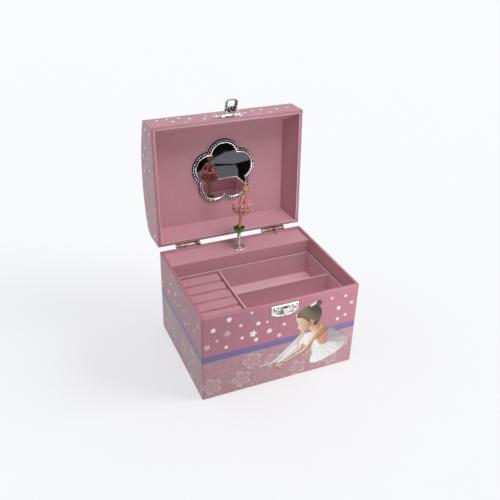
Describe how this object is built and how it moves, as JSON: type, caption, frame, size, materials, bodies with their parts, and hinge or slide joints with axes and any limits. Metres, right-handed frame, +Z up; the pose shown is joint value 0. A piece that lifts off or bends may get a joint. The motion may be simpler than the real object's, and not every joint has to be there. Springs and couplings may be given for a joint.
{
  "type": "music box",
  "caption": "Card jewellery music box with a domed mirror lid on two hinges, a folding and turning dancer, a lift-out tray with ring rolls, and a wind-up drum movement.",
  "frame": {"origin": "middle of the underside of the box body, on the surface that it stands on", "axes": "+X to the right seen from the front, +Y to the back where the hinges and the winding key are, +Z up"},
  "size_m": [0.152, 0.1747, 0.2291],
  "materials": {
    "greyboard": "matt greyboard, 2 mm",
    "printed_paper": "satin art paper printed in dusty pink with small white flowers",
    "lining_paper": "matt dusty pink lining paper",
    "flocked_foam": "short pink flock over foam",
    "nickel": "bright nickel plating on stamped steel",
    "steel": "ground steel",
    "brass": "turned brass",
    "cast_zinc": "die-cast zinc, satin",
    "chromed_plastic": "vacuum-metallised plastic",
    "mirror": "silvered acrylic",
    "green_plastic": "moulded green plastic leaves",
    "skin_plastic": "moulded plastic, painted",
    "tutu_net": "gathered pink net"
  },
  "bodies": {
    "case": {"base_board": "greyboard", "front_wall": "greyboard", "back_wall": "greyboard", "side_walls": "greyboard", "body_wrap": "printed_paper", "body_lining": "lining_paper", "platform": "lining_paper", "platform_front": "lining_paper", "tray_ledges": "greyboard", "rosette": "nickel", "hinge_leaves_body": "nickel", "hinge_pins": "steel", "hinge_nails_body": "nickel", "latch_plate": "nickel", "latch_staple": "nickel", "latch_rivets": "nickel", "bedplate": "cast_zinc", "governor_bracket": "brass", "comb": "steel", "comb_screws": "brass", "movement_screws": "nickel"},
    "lid": {"lid_front_wall": "greyboard", "lid_back_wall": "greyboard", "lid_ends": "greyboard", "lid_dome": "greyboard", "lid_wrap": "printed_paper", "lid_inner_frame": "lining_paper", "lid_inner_panel": "lining_paper", "mirror_bezel": "chromed_plastic", "mirror_glass": "mirror", "hinge_leaves_lid": "nickel", "hinge_nails_lid": "nickel", "hasp_plate": "nickel", "hasp_pin": "steel", "hasp_rivets": "nickel"},
    "hasp": {"hasp_tab": "nickel"},
    "tray": {"tray_floor": "lining_paper", "tray_long_walls": "lining_paper", "tray_end_walls": "lining_paper", "tray_partition": "lining_paper", "tray_divider": "lining_paper", "ring_rolls": "flocked_foam"},
    "barrel": {"spring_barrel": "brass", "mainspring": "steel"},
    "key": {"winding_arbor": "steel", "winding_key": "nickel"},
    "drum": {"drum": "brass", "drum_pins": "steel", "drum_arbor": "brass"},
    "governor": {"governor_gear": "brass"},
    "worm": {"worm": "steel", "fan": "brass"},
    "spindle": {"spindle": "nickel"},
    "stop": {"stop_strip": "nickel"},
    "dancer_base": {"dancer_spring": "nickel"},
    "dancer": {"leaf_cup": "green_plastic", "dancer_figure": "skin_plastic", "dancer_tutu": "tutu_net"}
  },
  "joints": [
    {"name": "lid_hinge", "type": "hinge", "parent": "case", "child": "lid", "pos_m": [0, 0.0624, 0.0883], "axis": [-1, 0, 0], "range_deg": [-93, 0]},
    {"name": "hasp_swing", "type": "hinge", "parent": "lid", "child": "hasp", "pos_m": [0.001, 0.07299, 0.21202], "axis": [-1, 0, 0], "range_deg": [-70, 90]},
    {"name": "tray_lift", "type": "slide", "parent": "case", "child": "tray", "axis": [0, 0, 1], "range_m": [0, 0.06]},
    {"name": "key_turn", "type": "hinge", "parent": "case", "child": "key", "pos_m": [0.001, 0.05, 0.05], "axis": [0, 1, 0], "continuous": true},
    {"name": "governor_spin", "type": "hinge", "parent": "case", "child": "governor", "pos_m": [0.045, 0.0435, 0.0598], "axis": [1, 0, 0], "continuous": true},
    {"name": "drum_spin", "type": "hinge", "parent": "case", "child": "drum", "pos_m": [0.028, 0.0455, 0.05], "axis": [1, 0, 0], "continuous": true},
    {"name": "barrel_spin", "type": "hinge", "parent": "case", "child": "barrel", "pos_m": [0.001, 0.05, 0.05], "axis": [0, 1, 0], "continuous": true},
    {"name": "spindle_spin", "type": "hinge", "parent": "case", "child": "spindle", "pos_m": [0.001, 0.0455, 0.07], "axis": [0, 0, 1], "continuous": true},
    {"name": "worm_spin", "type": "hinge", "parent": "case", "child": "worm", "pos_m": [0.0476, 0.0515, 0.06], "axis": [0, 0, 1], "continuous": true},
    {"name": "dancer_fold", "type": "hinge", "parent": "case", "child": "dancer_base", "pos_m": [0.001, 0.0455, 0.0892], "axis": [-1, 0, 0], "range_deg": [-80, 0]},
    {"name": "dancer_spin", "type": "hinge", "parent": "dancer_base", "child": "dancer", "pos_m": [0.001, 0.0455, 0.1], "axis": [0, 0, 1], "continuous": true},
    {"name": "stop_slide", "type": "slide", "parent": "case", "child": "stop", "axis": [0, 0, 1], "range_m": [-0.003, 0]}
  ],
  "couplings": [
    {"joint": "drum_spin", "follows": "governor_spin", "ratio": -0.33333},
    {"joint": "barrel_spin", "follows": "governor_spin", "ratio": 0.083333},
    {"joint": "spindle_spin", "follows": "governor_spin", "ratio": -0.33333},
    {"joint": "dancer_spin", "follows": "governor_spin", "ratio": -0.33333},
    {"joint": "worm_spin", "follows": "governor_spin", "ratio": -20},
    {"joint": "dancer_fold", "follows": "lid_hinge", "ratio": 0.86},
    {"joint": "stop_slide", "follows": "lid_hinge", "m_per_rad": 0.00184}
  ]
}
